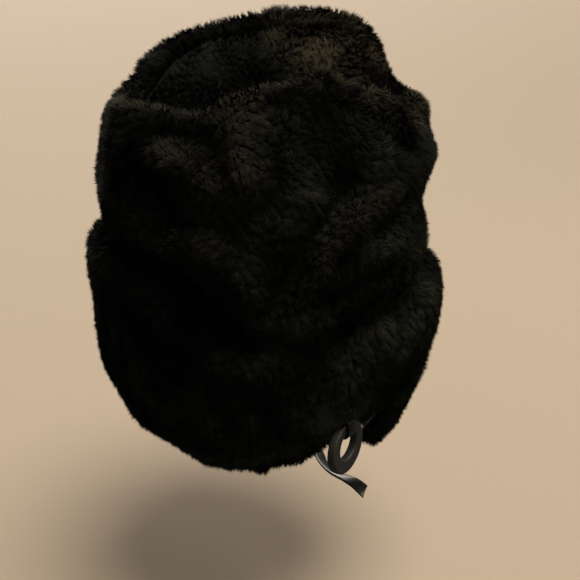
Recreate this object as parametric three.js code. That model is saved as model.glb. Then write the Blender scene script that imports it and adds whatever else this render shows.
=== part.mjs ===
// A bomber hat of black sheared sheepskin: a tall crown with a dished top, whose wall slouches over the lower
// panels, a nape flap, two ear flaps, a turned-up front peak, and a chin strap with its ring.
// Millimetres, +Z up, +X the wearer's right, +Y the face side. The origin is the middle of the head opening
// at the brow. Angles run round the hat in degrees: 0 right, 90 front, 180 left, 270 back.
import * as THREE from 'three';

const { clamp, degToRad, lerp, smoothstep } = THREE.MathUtils;

// Driving dimensions
const head = { right: 89, left: 92, front: 96, back: 98 };
const wall = 12; // the hide and its pile together
const gap = 0.6; // between pieces that touch
const squareness = 2.25; // of the oval that the head opening follows
const bandTop = 84; // where the lower panels end, inside the crown
const drawIn = { from: 24, to: 8 }; // how far below the lip they bend inwards
const bandEase = 12; // how far above their tops the crown's wall may close in
const rim = { out: 11, high: 15, turn: 150, wall: 9 }; // the rolled edge round the crown's top
const bowl = { floor: 139, power: 2.1 }; // the dish inside it
const crownColumns = 80; // of facets round the crown
const lock = { high: 2.6, columns: 2, rows: 3 }; // the clumps of the pile
const hemJag = 3; // how far their tips hang below a hem
const pillow = { deep: 4, reach: 9, most: 6 }; // how a panel rounds off towards its seams
const crownMiddle = 118; // the crown's and the panels' middle radii, which turn angles into lengths
const panelMiddle = 105;
const seamGap = 0.5; // degrees between the nape flap and each seam
const wayLong = 90; // the length along the crown's surface of one unit of its way
const ringSize = { outer: 38, hole: 21, thick: 6, holeUp: 1.8 }; // the hole sits above the ring's middle
const tabSize = { wide: 9, thick: 1.6, long: 9 };
const strapSize = { wide: 10, thick: 2 };

// Half sizes of the crown's outer surface at each height
const crownSections = [
  { z: 0, right: 117, left: 121, front: 112, back: 122 },
  { z: 30, right: 117, left: 121, front: 112, back: 126 },
  { z: 60, right: 114, left: 118, front: 112, back: 128 },
  { z: 80, right: 117, left: 115, front: 112, back: 127 },
  { z: 100, right: 113, left: 118, front: 113, back: 123 },
  { z: 120, right: 120, left: 115, front: 114, back: 117 },
  { z: 131, right: 117, left: 113, front: 114, back: 113 },
  { z: 140, right: 108, left: 110, front: 113, back: 108 },
  { z: 150, right: 95, left: 105, front: 111, back: 101 },
  { z: 160, right: 90, left: 100, front: 109, back: 96 },
  { z: 180, right: 97, left: 98, front: 102, back: 88 },
  { z: 200, right: 103, left: 92, front: 91, back: 82 },
];

// Half sizes of the lower panels' outer surface at each height
const lowerSections = [
  { z: -130, right: 84, left: 84, front: 80, back: 74 },
  { z: -95, right: 103, left: 102, front: 92, back: 91 },
  { z: -70, right: 111, left: 113, front: 102, back: 102 },
  { z: -40, right: 122, left: 122, front: 112, back: 113 },
  { z: 0, right: 129, left: 129, front: 117, back: 122 },
  { z: 35, right: 130, left: 130, front: 117, back: 122 },
  { z: 70, right: 121, left: 131, front: 115, back: 120 },
];

// The crown's lower lip and upper crest round the hat
const crownEdges = closeRound([
  { angle: 0, lip: 70, crest: 157 },
  { angle: 22, lip: 54, crest: 178 },
  { angle: 45, lip: 22, crest: 201 },
  { angle: 68, lip: 4, crest: 204 },
  { angle: 84, lip: 0, crest: 204 },
  { angle: 108, lip: 4, crest: 197 },
  { angle: 130, lip: 24, crest: 190 },
  { angle: 155, lip: 66, crest: 174 },
  { angle: 180, lip: 90, crest: 154 },
  { angle: 204, lip: 84, crest: 156 },
  { angle: 222, lip: 78, crest: 160 },
  { angle: 240, lip: 75, crest: 160 },
  { angle: 254, lip: 62, crest: 162 },
  { angle: 268, lip: 29, crest: 173 },
  { angle: 284, lip: 28, crest: 177 },
  { angle: 304, lip: 33, crest: 178 },
  { angle: 322, lip: 42, crest: 168 },
  { angle: 342, lip: 60, crest: 157 },
]);

// The creases of the crown: a line of angles and heights, how deep and wide it is, and the roll above it
const creases = [
  {
    name: 'slouch above the V, right',
    line: [[274, 24], [283, 56], [293, 84], [311, 92], [332, 95], [350, 88], [368, 82]],
    deep: 8, wide: 11, roll: 5,
  },
  {
    name: 'shoulder dent',
    line: [[300, 184], [318, 166], [340, 148], [356, 135], [364, 126]],
    deep: 9, wide: 10, roll: 4,
  },
  { name: 'under the right lump', line: [[326, 118], [345, 112], [362, 104]], deep: 4, wide: 9, roll: 3 },
  { name: 'left cheek dent', line: [[208, 118], [226, 112], [240, 100]], deep: 4, wide: 14, roll: 2 },
  { name: 'back dimple', line: [[262, 120], [268, 98]], deep: 3, wide: 15, roll: 0 },
];

// The seams between the nape flap and the ear flaps at each height, as angles
const seams = [
  { z: -130, right: 318, left: 222 },
  { z: -78, right: 312, left: 220 },
  { z: -62, right: 320, left: 212 },
  { z: -40, right: 341, left: 207 },
  { z: 0, right: 360, left: 204 },
  { z: 40, right: 364, left: 190 },
  { z: 90, right: 366, left: 184 },
];

// The hems: height of the lower edge across each panel, from 0 at its first seam to 1 at its other edge
const hems = {
  nape: [
    { across: 0, z: -62 },
    { across: 0.06, z: -78 },
    { across: 0.22, z: -90 },
    { across: 0.45, z: -92 },
    { across: 0.65, z: -86 },
    { across: 0.85, z: -73 },
    { across: 0.95, z: -63 },
    { across: 1, z: -48 },
  ],
  right: [
    { across: 0, z: -56 },
    { across: 0.08, z: -82 },
    { across: 0.3, z: -106 },
    { across: 0.6, z: -120 },
    { across: 0.85, z: -110 },
    { across: 1, z: -84 },
  ],
  left: [
    { across: 0, z: -52 },
    { across: 0.08, z: -72 },
    { across: 0.3, z: -90 },
    { across: 0.6, z: -104 },
    { across: 0.85, z: -98 },
    { across: 1, z: -76 },
  ],
};

// Places where the pile is pressed in: the tab's seat, and the ear flap's tucked corner behind the ring
const presses = [
  { name: 'tab seat', angle: 302, z: -38.5, reach: 22, deep: 16 },
  { name: 'tucked corner', angle: 322, z: -74, reach: 30, deep: 12 },
];

// The front peak, across the brow
const peak = { from: 50, to: 130, wide: 160, top: 92, thick: 13, fold: 12 };

// The chin strap: its sewn end inside the left ear flap, then its middle line and where its face looks
const strapRoot = [
  { angle: 165, z: -78, from: 1 },
  { angle: 165, z: -94, from: 3 },
];
const strapLine = [
  { x: -71, y: 36, z: -118, faceX: -0.8, faceY: 0.4, faceZ: -0.4 },
  { x: -60, y: 52, z: -138, faceX: -0.45, faceY: 0.4, faceZ: -0.8 },
  { x: -38, y: 66, z: -150, faceX: -0.15, faceY: 0.2, faceZ: -1 },
  { x: -6, y: 70, z: -154, faceX: 0, faceY: 0, faceZ: -1 },
  { x: 22, y: 58, z: -152, faceX: -0.1, faceY: -0.15, faceZ: -1 },
  { x: 38, y: 34, z: -147, faceX: -0.3, faceY: -0.2, faceZ: -0.9 },
  { x: 44, y: 6, z: -144, faceX: -0.45, faceY: -0.15, faceZ: -0.8 },
  { x: 51, y: -16, z: -139, faceX: -0.4, faceY: -0.1, faceZ: -0.85 },
  { x: 61, y: -30, z: -135, faceX: -0.15, faceY: 0, faceZ: -1 },
  { x: 68, y: -37, z: -135.5, faceX: 0.05, faceY: 0.1, faceZ: -1 },
  { x: 74, y: -43, z: -138, faceX: 0.2, faceY: 0.2, faceZ: -0.9 },
];

const finishes = {
  fur: { color: 0x0d0b0a, roughness: 0.95, metalness: 0 },
  leather: { color: 0x0a0a0a, roughness: 0.3, metalness: 0 },
  plastic: { color: 0x1c1a18, roughness: 0.55, metalness: 0 },
};

/** Repeats a table's first rows a turn on, and its last row a turn back, so that it can be read round. */
function closeRound(rows) {
  const turned = (row, turn) => ({ ...row, angle: row.angle + turn });
  return [turned(rows.at(-1), -360), ...rows, turned(rows[0], 360), turned(rows[1], 360)];
}

/** Reads one column of a table on a smooth curve through its rows, at a place along the key column. */
function read(rows, key, name, place) {
  const last = rows.length - 1;
  let i = 0;
  while (i < last - 1 && place > rows[i + 1][key]) i += 1;
  const slope = (k) => {
    const before = rows[Math.max(k - 1, 0)];
    const after = rows[Math.min(k + 1, last)];
    return (after[name] - before[name]) / (after[key] - before[key]);
  };
  const span = rows[i + 1][key] - rows[i][key];
  const t = clamp((place - rows[i][key]) / span, 0, 1);
  const rise = t * t * (3 - 2 * t);
  const leave = t * (1 - t) * (1 - t) * span * slope(i);
  const arrive = t * t * (1 - t) * span * slope(i + 1);
  return lerp(rows[i][name], rows[i + 1][name], rise) + leave - arrive;
}

const wrap = (angle) => ((angle % 360) + 360) % 360;

/** The radius of an oval with four half sizes, at an angle. */
function ovalRadius(size, angle) {
  const across = Math.cos(degToRad(angle));
  const along = Math.sin(degToRad(angle));
  const a = Math.abs(across) / (across > 0 ? size.right : size.left);
  const b = Math.abs(along) / (along > 0 ? size.front : size.back);
  return (a ** squareness + b ** squareness) ** (-1 / squareness);
}

/** The oval of a table of sections at one height. */
function sectionAt(rows, z) {
  const at = (side) => read(rows, 'z', side, z);
  return { right: at('right'), left: at('left'), front: at('front'), back: at('back') };
}

const place = (angle, r, z) => new THREE.Vector3(
  r * Math.cos(degToRad(angle)), r * Math.sin(degToRad(angle)), z,
);

/** A number from 0 to 1 that looks random but is the same in each run. */
function scatter(a, b) {
  const wave = Math.sin(a * 127.1 + b * 311.7) * 43758.5453;
  return wave - Math.floor(wave);
}

/** The height of the pile's clumps: staggered locks that rise towards their lower tips. */
function lockRelief(column, row) {
  const line = Math.floor(row / lock.rows);
  const shifted = column + line;
  const middle = shifted % lock.columns === 0 ? 1 : 0.25;
  const down = 1 - (row % lock.rows) / lock.rows;
  const size = 0.6 + 0.8 * scatter(Math.floor(shifted / lock.columns), line);
  return lock.high * middle * down * size;
}

/** How much a panel's outer surface sinks at a distance from its edge. */
const edgeSink = (distance) => pillow.deep * Math.exp(-((distance / pillow.reach) ** 2));

/** How far the creases move the crown's wall in or out, at an angle and a height. */
function creasePush(angle, z) {
  let push = 0;
  for (const crease of creases) {
    let nearest = { distance: Infinity, side: 1 };
    for (let i = 0; i + 1 < crease.line.length; i += 1) {
      const [fromAngle, fromZ] = crease.line[i];
      const [toAngle, toZ] = crease.line[i + 1];
      const start = new THREE.Vector2(degToRad(fromAngle) * crownMiddle, fromZ);
      const way = new THREE.Vector2(degToRad(toAngle) * crownMiddle, toZ).sub(start);
      for (const turn of [0, 360]) {
        const point = new THREE.Vector2(degToRad(wrap(angle) + turn) * crownMiddle, z).sub(start);
        const along = clamp(point.dot(way) / way.lengthSq(), 0, 1);
        const distance = point.distanceTo(way.clone().multiplyScalar(along));
        if (distance < nearest.distance) nearest = { distance, side: Math.sign(way.cross(point)) };
      }
    }
    push -= crease.deep * Math.exp(-((nearest.distance / crease.wide) ** 2));
    if (nearest.side > 0) {
      const past = (nearest.distance - 1.7 * crease.wide) / crease.wide;
      push += crease.roll * Math.exp(-(past ** 2));
    }
  }
  return push;
}

/** Soft unevenness of the hide. */
function ripple(angle, z) {
  const turn = degToRad(angle);
  const broad = 1.6 * Math.sin(3 * turn + z / 19);
  const middling = 1.2 * Math.sin(7 * turn - z / 15 + 1);
  const fine = 0.8 * Math.sin(11 * turn + z / 11);
  return broad + middling + fine;
}

/** The crown's outer surface: way 0 to 1 up the wall, to 2 over the rim, to 3 down to the dish's middle. */
function crownOutline(angle, way) {
  const edge = wrap(angle);
  const lip = read(crownEdges, 'angle', 'lip', edge);
  const crest = read(crownEdges, 'angle', 'crest', edge);
  const shoulder = crest - rim.high;
  const wallAt = (z) => ovalRadius(sectionAt(crownSections, z), edge);
  if (way <= 1) {
    const z = lerp(lip, shoulder, way);
    return { r: wallAt(z) + creasePush(edge, z) + ripple(edge, z), z };
  }
  const turned = degToRad(rim.turn * Math.min(way - 1, 1));
  const fade = 1 - 0.5 * Math.min(way - 1, 1);
  const z = shoulder + rim.high * Math.sin(turned);
  const push = (creasePush(edge, z) + ripple(edge, shoulder)) * fade;
  const r = wallAt(shoulder) - rim.out * (1 - Math.cos(turned)) + push;
  if (way <= 2) return { r, z };
  const inward = way - 2;
  return { r: r * (1 - inward), z: bowl.floor + (z - bowl.floor) * (1 - inward) ** bowl.power };
}

/** A point inside the crown's outer surface by its wall, which leaves room for the lower panels' tops. */
function crownInside(angle, way) {
  const step = 0.02;
  const here = crownOutline(angle, way);
  const before = crownOutline(angle, Math.max(way - step, 0));
  const after = crownOutline(angle, Math.min(way + step, 2.98));
  const run = new THREE.Vector2(after.r - before.r, after.z - before.z).normalize();
  if (way === 0) run.set(0, 1);
  const deep = lerp(wall, rim.wall, smoothstep(way, 0.8, 1.1));
  const level = here.z + run.x * deep;
  const band = ovalRadius(head, angle) + wall + 2 * gap;
  const room = band - 1.5 * Math.max(0, level - bandTop - bandEase);
  return { r: Math.max(here.r - run.y * deep, way <= 1 ? room : 0), z: level };
}

/** How far a lower panel is drawn in under the crown's lip, from 0 where it is free to 1 inside the crown. */
function tuck(angle, z) {
  const aside = 7;
  const lips = [-aside, 0, aside].map((turn) => read(crownEdges, 'angle', 'lip', wrap(angle + turn)));
  const lip = Math.min(...lips);
  return smoothstep(z, lip - drawIn.from, lip - drawIn.to);
}

/** How far the pile is pressed in at a place on the lower panels. */
function press(angle, z) {
  let deep = 0;
  for (const row of presses) {
    const side = degToRad(wrap(angle) - row.angle) * panelMiddle;
    deep += row.deep * Math.exp(-(side ** 2 + (z - row.z) ** 2) / row.reach ** 2);
  }
  return deep;
}

/** The lower panels' outer surface. */
function lowerRadius(angle, z) {
  const band = ovalRadius(head, angle) + wall;
  const free = ovalRadius(sectionAt(lowerSections, z), angle) + 0.7 * ripple(angle, z);
  return lerp(free - press(angle, z), band, tuck(angle, z));
}

/** Turns a geometry's triangles over where they enclose a negative volume. */
function faceOutwards(geometry) {
  const at = geometry.getAttribute('position');
  const index = geometry.getIndex();
  const corner = (i) => new THREE.Vector3().fromBufferAttribute(at, index.getX(i));
  let volume = 0;
  for (let i = 0; i < index.count; i += 3) volume += corner(i).dot(corner(i + 1).cross(corner(i + 2)));
  if (volume < 0) {
    for (let i = 0; i < index.count; i += 3) {
      const first = index.getX(i);
      index.setX(i, index.getX(i + 1));
      index.setX(i + 1, first);
    }
  }
  geometry.computeVertexNormals();
  return geometry;
}

/** A lathe of a closed or axis-to-axis profile, with each vertex moved to shape(angle, its number). */
function shapedLathe(profileCount, columns, closes, shape) {
  const profile = [];
  for (let j = 0; j < profileCount; j += 1) {
    const turn = (j / profileCount) * 2 * Math.PI;
    profile.push(new THREE.Vector2(2 + Math.cos(turn), Math.sin(turn)));
  }
  if (closes) profile.push(profile[0].clone());
  const geometry = new THREE.LatheGeometry(profile, columns);
  const at = geometry.getAttribute('position');
  for (let i = 0; i <= columns; i += 1) {
    for (let j = 0; j < profile.length; j += 1) {
      const point = shape(((i % columns) / columns) * 360, j % profileCount, i % columns);
      at.setXYZ(i * profile.length + j, point.x, point.y, point.z);
    }
  }
  return faceOutwards(geometry);
}

/** A box of a grid of cells, with each vertex moved to shape(across, up, inner or outer). */
function shapedBox(columns, rows, shape) {
  const geometry = new THREE.BoxGeometry(1, 1, 1, columns, rows, 1);
  const at = geometry.getAttribute('position');
  for (let i = 0; i < at.count; i += 1) {
    const across = at.getX(i) + 0.5;
    const up = at.getY(i) + 0.5;
    const point = shape(across, up, at.getZ(i) > 0, Math.round(across * columns), Math.round(up * rows));
    at.setXYZ(i, point.x, point.y, point.z);
  }
  return faceOutwards(geometry);
}

function piece(name, geometry, finish) {
  const mesh = new THREE.Mesh(geometry, new THREE.MeshStandardMaterial(finishes[finish]));
  mesh.name = name;
  return mesh;
}

/** The crown's wall, from its lip up over the rolled rim. */
function makeCrownSide() {
  const outer = 19;
  const inner = 8;
  return shapedLathe(outer + inner, crownColumns, true, (angle, j, column) => {
    if (j < outer) {
      const way = (2 * j) / (outer - 1);
      const { r, z } = crownOutline(angle, way);
      const nearest = Math.min(way, (2 - way) * 0.5) * wayLong;
      const raise = lockRelief(column, outer - j) - edgeSink(nearest);
      const turned = degToRad(rim.turn * clamp(way - 1, 0, 1));
      return place(angle, r + raise * Math.cos(turned), z + raise * Math.sin(turned));
    }
    const way = 2 - (2 * (j - outer)) / (inner - 1);
    const { r, z } = crownInside(angle, way);
    return place(angle, r, z);
  });
}

/** The dished top panel. */
function makeCrownTop() {
  const outer = 8;
  const inner = 4;
  const seam = 2.006;
  return shapedLathe(outer + inner, crownColumns, false, (angle, j, column) => {
    if (j < outer) {
      const way = lerp(3, seam, j / (outer - 1));
      const { r, z } = crownOutline(angle, way);
      const clump = way < 2.9 ? lockRelief(column, j) * smoothstep(r, 15, 45) : 0;
      return place(angle, r, z + clump - edgeSink((way - seam) * wayLong));
    }
    const way = lerp(seam, 3, (j - outer) / (inner - 1));
    const { r, z } = way > 2.95 ? { r: 0, z: bowl.floor - rim.wall } : crownInside(angle, way);
    return place(angle, r, z);
  });
}

/** A lower panel between two angle functions of height, with a hem that hangs in locks. */
function makePanel(columns, rows, fromAngle, toAngle, hem) {
  return shapedBox(columns, rows, (across, up, isOuter, column, row) => {
    const bottom = read(hem, 'across', 'z', across);
    const jag = row === 0 ? hemJag * (scatter(column, 5) + (column % 2)) : 0;
    const z = lerp(bottom, bandTop, up) - jag;
    const from = fromAngle(z);
    const to = toAngle(z);
    const angle = lerp(from, to, across);
    const r = lowerRadius(angle, z);
    if (!isOuter) return place(angle, r - wall, z);
    const width = degToRad(to - from) * r;
    const side = Math.min(across, 1 - across) * width;
    const sink = edgeSink(side) + edgeSink(up * (bandTop - bottom));
    const flat = Math.max(tuck(angle, z), clamp(press(angle, z) / 6, 0, 1));
    const clump = lockRelief(column, row) * (1 - flat);
    return place(angle, r + clump - Math.min(sink, pillow.most), z);
  });
}

/** The turned-up peak: it folds round the crown's front lip and lies on the crown. */
function makeFrontPeak() {
  const rows = 8;
  return shapedBox(14, rows, (across, up, isOuter, column, row) => {
    const angle = lerp(peak.from, peak.to, across);
    const lip = read(crownEdges, 'angle', 'lip', angle);
    const top = lerp(lip, peak.top, 1 - 0.28 * Math.abs(2 * across - 1) ** 3);
    if (!isOuter) {
      const z = lerp(lip - 1.5 * gap, top, Math.max(row - 1, 0) / (rows - 1));
      const under = crownFaceRadius(angle, z) + gap;
      return place(angle, row === 0 ? under - wall : under, z);
    }
    const z = lerp(lip - peak.fold, top, up);
    const under = crownFaceRadius(angle, z) + gap;
    if (row === 0) return place(angle, under - 0.6 * wall, z);
    const side = Math.min(across, 1 - across) * peak.wide;
    const end = Math.min(up, 1 - up) * peak.top;
    const sink = Math.min(edgeSink(side) + edgeSink(end), pillow.most);
    return place(angle, under + peak.thick + lockRelief(column, row) - sink, z);
  });
}

/** The crown's outer radius at a height, with room for its locks. */
function crownFaceRadius(angle, z) {
  const level = Math.max(z, read(crownEdges, 'angle', 'lip', wrap(angle)));
  return ovalRadius(sectionAt(crownSections, level), angle) + creasePush(angle, level) + ripple(angle, level)
    + 1.4 * lock.high;
}

/** A flat round ring with rounded edges, standing upright, its hole a little above its middle. */
function makeRing() {
  const corner = 1.2;
  const inner = ringSize.hole / 2;
  const outer = ringSize.outer / 2;
  const half = ringSize.thick / 2;
  const profile = [];
  for (const [x, y, start] of [
    [outer - corner, half - corner, 0], [inner + corner, half - corner, 90],
    [inner + corner, corner - half, 180], [outer - corner, corner - half, 270],
  ]) {
    for (const turn of [0, 45, 90]) {
      const at = degToRad(start + turn);
      profile.push(new THREE.Vector2(x + corner * Math.cos(at), y + corner * Math.sin(at)));
    }
  }
  profile.push(profile[0].clone());
  const geometry = new THREE.LatheGeometry(profile, 32);
  const at = geometry.getAttribute('position');
  for (let i = 0; i < at.count; i += 1) {
    if (Math.hypot(at.getX(i), at.getZ(i)) < (inner + outer) / 2) at.setZ(i, at.getZ(i) + ringSize.holeUp);
  }
  return faceOutwards(geometry);
}

/** The tab: a stem on the hide and a loop round the ring's upper bar, in the plane across the ring. */
function makeTab() {
  const inside = ringSize.thick / 2 + gap;
  const outside = inside + tabSize.thick;
  const top = ringSize.outer / 2;
  const bend = ringSize.hole / 2 + ringSize.holeUp + 0.4;
  const outline = new THREE.Shape();
  outline.moveTo(-outside, bend);
  outline.absarc(0, bend, outside, Math.PI, 2 * Math.PI, false);
  outline.lineTo(outside, top + 1.5);
  outline.lineTo(tabSize.thick - inside, top + 5);
  outline.lineTo(tabSize.thick - inside, top + tabSize.long);
  outline.lineTo(-outside, top + tabSize.long);
  outline.closePath();
  const eye = new THREE.Path();
  eye.moveTo(inside, bend);
  eye.absarc(0, bend, inside, 0, Math.PI, true);
  eye.lineTo(-inside, top + gap);
  eye.lineTo(inside, top + gap);
  eye.closePath();
  outline.holes.push(eye);
  const settings = { depth: tabSize.wide, bevelEnabled: false, curveSegments: 8 };
  const geometry = new THREE.ExtrudeGeometry(outline, settings);
  geometry.translate(0, 0, -tabSize.wide / 2);
  return geometry;
}

/** The flat chin strap, from its sewn end along its line to the slanted tip. */
function makeStrap() {
  const tipSlant = 6;
  const points = [];
  const faces = [];
  for (const row of strapRoot) {
    const inside = lowerRadius(row.angle, row.z) - wall - row.from - strapSize.thick / 2;
    points.push(place(row.angle, inside, row.z));
    faces.push(place(row.angle, 1, 0));
  }
  for (const row of strapLine) {
    points.push(new THREE.Vector3(row.x, row.y, row.z));
    faces.push(new THREE.Vector3(row.faceX, row.faceY, row.faceZ));
  }
  const line = new THREE.CatmullRomCurve3(points);
  const facing = new THREE.CatmullRomCurve3(faces);
  return shapedBox(1, 60, (across, along, isOuter) => {
    const tangent = line.getTangent(along);
    const face = facing.getPoint(along);
    const thick = face.addScaledVector(tangent, -face.dot(tangent)).normalize();
    const wide = new THREE.Vector3().crossVectors(tangent, thick);
    return line.getPoint(along)
      .addScaledVector(wide, (across - 0.5) * strapSize.wide)
      .addScaledVector(thick, (isOuter ? 0.5 : -0.5) * strapSize.thick)
      .addScaledVector(tangent, along === 1 ? (0.5 - across) * tipSlant : 0);
  });
}

const hat = new THREE.Group();
hat.add(piece('crown_side', makeCrownSide(), 'fur'));
hat.add(piece('crown_top', makeCrownTop(), 'fur'));

const rightSeam = (z) => read(seams, 'z', 'right', z);
const leftSeam = (z) => read(seams, 'z', 'left', z);
const napeFrom = (z) => leftSeam(z) + seamGap;
const napeTo = (z) => rightSeam(z) - seamGap;
const panelRows = 14;
hat.add(piece('nape_flap', makePanel(30, panelRows, napeFrom, napeTo, hems.nape), 'fur'));
const rightFront = () => peak.from + 360;
const leftFront = () => peak.to;
hat.add(piece('ear_flap_right', makePanel(12, panelRows, rightSeam, rightFront, hems.right), 'fur'));
hat.add(piece('ear_flap_left', makePanel(12, panelRows, leftSeam, leftFront, hems.left), 'fur'));
hat.add(piece('front_peak', makeFrontPeak(), 'fur'));

// The ring hangs on the tab, both turned a little to the wearer's right
const ringFaces = 326;
const ringAt = place(298, 115, -61.8);
const ring = piece('strap_ring', makeRing(), 'plastic');
ring.rotation.z = degToRad(ringFaces + 90);
const tab = piece('ring_tab', makeTab(), 'leather');
tab.rotation.x = Math.PI / 2;
const hanging = new THREE.Group();
hanging.position.copy(ringAt);
hanging.rotation.z = degToRad(ringFaces);
hanging.add(tab);
ring.position.copy(ringAt);
hat.add(ring, hanging);
hat.add(piece('chin_strap', makeStrap(), 'leather'));

hat.updateMatrixWorld(true);

export default hat;
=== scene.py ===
# %% [markdown]
# # A black sheepskin bomber hat
# The hat is a tall soft crown with a dished top. Its wall slouches over a nape flap and two ear flaps, and a
# short peak is turned up at the front. A ring hangs from a leather tab, and a strap hangs under the flaps.
# The fixed frame holds each piece's place and size. Here each fur piece becomes a hide with a real pile of
# bent hairs on it, because a bump map alone leaves a smooth edge where fur should be ragged.

import math

import bmesh
import bpy
import numpy as np
from mathutils import Matrix, Vector, noise
from mathutils.bvhtree import BVHTree


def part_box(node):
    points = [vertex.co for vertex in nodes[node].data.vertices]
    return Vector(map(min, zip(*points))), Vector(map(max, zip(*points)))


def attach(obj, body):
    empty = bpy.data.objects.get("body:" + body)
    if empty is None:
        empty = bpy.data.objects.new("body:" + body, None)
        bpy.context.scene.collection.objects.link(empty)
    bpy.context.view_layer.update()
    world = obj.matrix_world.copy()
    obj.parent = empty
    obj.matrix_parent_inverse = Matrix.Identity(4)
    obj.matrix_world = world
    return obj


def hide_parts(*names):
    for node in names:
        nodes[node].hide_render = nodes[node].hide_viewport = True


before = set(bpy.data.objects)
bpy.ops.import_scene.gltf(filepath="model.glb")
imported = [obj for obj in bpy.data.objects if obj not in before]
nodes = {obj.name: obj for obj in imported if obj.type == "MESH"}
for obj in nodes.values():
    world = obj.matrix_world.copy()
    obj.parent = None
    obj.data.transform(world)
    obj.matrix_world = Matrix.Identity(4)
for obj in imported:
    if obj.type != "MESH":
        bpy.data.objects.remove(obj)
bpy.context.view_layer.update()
print("pieces in the frame:", sorted(nodes))

# %% [markdown]
# ## The camera
# The hat is seen from behind and a little above, close up, so that near parts look larger. The place, the
# pitch and the lens were found by laying the model's outline over the picture's.

# %% Place the camera
camera_data = bpy.data.cameras.new("camera")
camera_data.lens = 55.86
camera_data.sensor_width = 36
camera = bpy.data.objects.new("camera", camera_data)
camera.location = (0.017, -0.621, 0.261)
camera.rotation_euler = (math.radians(68), 0, 0)
bpy.context.scene.collection.objects.link(camera)
bpy.context.scene.camera = camera
print("camera at", tuple(camera.location))

# %% [markdown]
# ## Sizes of the pile
# Sheared sheepskin has a short, dense, slightly curly pile. Its hairs stand in tufts about as wide as they
# are long, and dark partings open between the tufts. Everything here is in metres.

# %% Name the sizes
MM = 0.001
SEED = 7
HAIR_LONG = 6.0 * MM
HAIR_WIDE = 0.55 * MM
GROUND_DEPTH = 3.8 * MM  # how far the hide lies under the frame's outer surface
ROOT_DEPTH = 1.0 * MM  # how far a root goes into the hide
TUFT_WIDE = 5.0 * MM
HAIRS_PER_SQUARE_METRE = 1.9e6
SAME_PLACE = 0.01 * MM  # corners nearer than this are merged

# Each fur piece: how much its hairs lean down, how strongly they gather in tufts, and its number of parts
PELTS = {
    "crown_side": {"lean": 0.40, "gather": 0.5, "swirl": 0.7, "parts": 3},
    "crown_top": {"lean": 0.20, "gather": 0.6, "swirl": 0.8, "parts": 1},
    "nape_flap": {"lean": 0.60, "gather": 0.6, "swirl": 0.6, "parts": 1},
    "ear_flap_left": {"lean": 0.60, "gather": 0.6, "swirl": 0.6, "parts": 1},
    "ear_flap_right": {"lean": 0.60, "gather": 0.6, "swirl": 0.6, "parts": 1},
    "front_peak": {"lean": 0.50, "gather": 0.5, "swirl": 0.6, "parts": 1},
}
print("fur pieces:", len(PELTS))

# %% Helper for pieces
def new_piece(work, name, *materials):
    """Makes a linked object from a bmesh, which it frees, with the materials in their order."""
    mesh = bpy.data.meshes.new(name)
    work.to_mesh(mesh)
    work.free()
    for material in materials:
        mesh.materials.append(material)
    piece = bpy.data.objects.new(name, mesh)
    bpy.context.scene.collection.objects.link(piece)
    return piece


def merged_copy(node, flat, square):
    """A bmesh of a piece in the frame, with its corners merged and its triangles joined to quads.

    Two triangles are joined where they lie flatter than the first angle and nearer a square than the second.
    """
    work = bmesh.new()
    work.from_mesh(nodes[node].data)
    bmesh.ops.remove_doubles(work, verts=work.verts, dist=SAME_PLACE)
    bmesh.ops.join_triangles(work, faces=work.faces, angle_face_threshold=flat, angle_shape_threshold=square)
    work.normal_update()
    return work


# %% [markdown]
# ## Shared effects
# Three effects come back in several materials: a slow drift of colour over the pelt, a fine grain, and worn
# edges. Each is a node group that puts out a mask or a height, and each material gives it its own values.

# %% Helpers for node trees
def add_node(tree, kind, **settings):
    """Adds a node, sets its properties, and returns it."""
    node = tree.nodes.new(kind)
    for name, value in settings.items():
        setattr(node, name, value)
    return node


def new_group(name, kind, inputs, outputs):
    """Makes a node group with named sockets. Each input is (name, socket kind, default)."""
    group = bpy.data.node_groups.new(name, kind)
    for label, socket, default in inputs:
        made = group.interface.new_socket(label, in_out="INPUT", socket_type=socket)
        if default is not None:
            made.default_value = default
    for label, socket in outputs:
        group.interface.new_socket(label, in_out="OUTPUT", socket_type=socket)
    return group, group.nodes.new("NodeGroupInput"), group.nodes.new("NodeGroupOutput")


def math_node(tree, operation, first, second):
    """A Math node between two sockets or numbers."""
    node = add_node(tree, "ShaderNodeMath", operation=operation)
    for slot, value in zip(node.inputs, (first, second)):
        if isinstance(value, (int, float)):
            slot.default_value = value
        else:
            tree.links.new(value, slot)
    return node.outputs[0]


# %% Effect: slow drift over a surface
drift_group, drift_in, drift_out = new_group(
    "slow_drift", "ShaderNodeTree",
    [("Scale", "NodeSocketFloat", 20.0), ("Contrast", "NodeSocketFloat", 2.0)],
    [("Mask", "NodeSocketFloat")],
)
drift_place = add_node(drift_group, "ShaderNodeTexCoord")
drift_noise = add_node(drift_group, "ShaderNodeTexNoise")
drift_noise.inputs["Detail"].default_value = 4
drift_group.links.new(drift_place.outputs["Object"], drift_noise.inputs["Vector"])
drift_group.links.new(drift_in.outputs["Scale"], drift_noise.inputs["Scale"])
drift_middle = math_node(drift_group, "SUBTRACT", drift_noise.outputs["Fac"], 0.5)
drift_spread = math_node(drift_group, "MULTIPLY", drift_middle, drift_in.outputs["Contrast"])
drift_clamp = add_node(drift_group, "ShaderNodeMath", operation="ADD", use_clamp=True)
drift_clamp.inputs[1].default_value = 0.5
drift_group.links.new(drift_spread, drift_clamp.inputs[0])
drift_group.links.new(drift_clamp.outputs[0], drift_out.inputs["Mask"])
print("made", drift_group.name)

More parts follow.
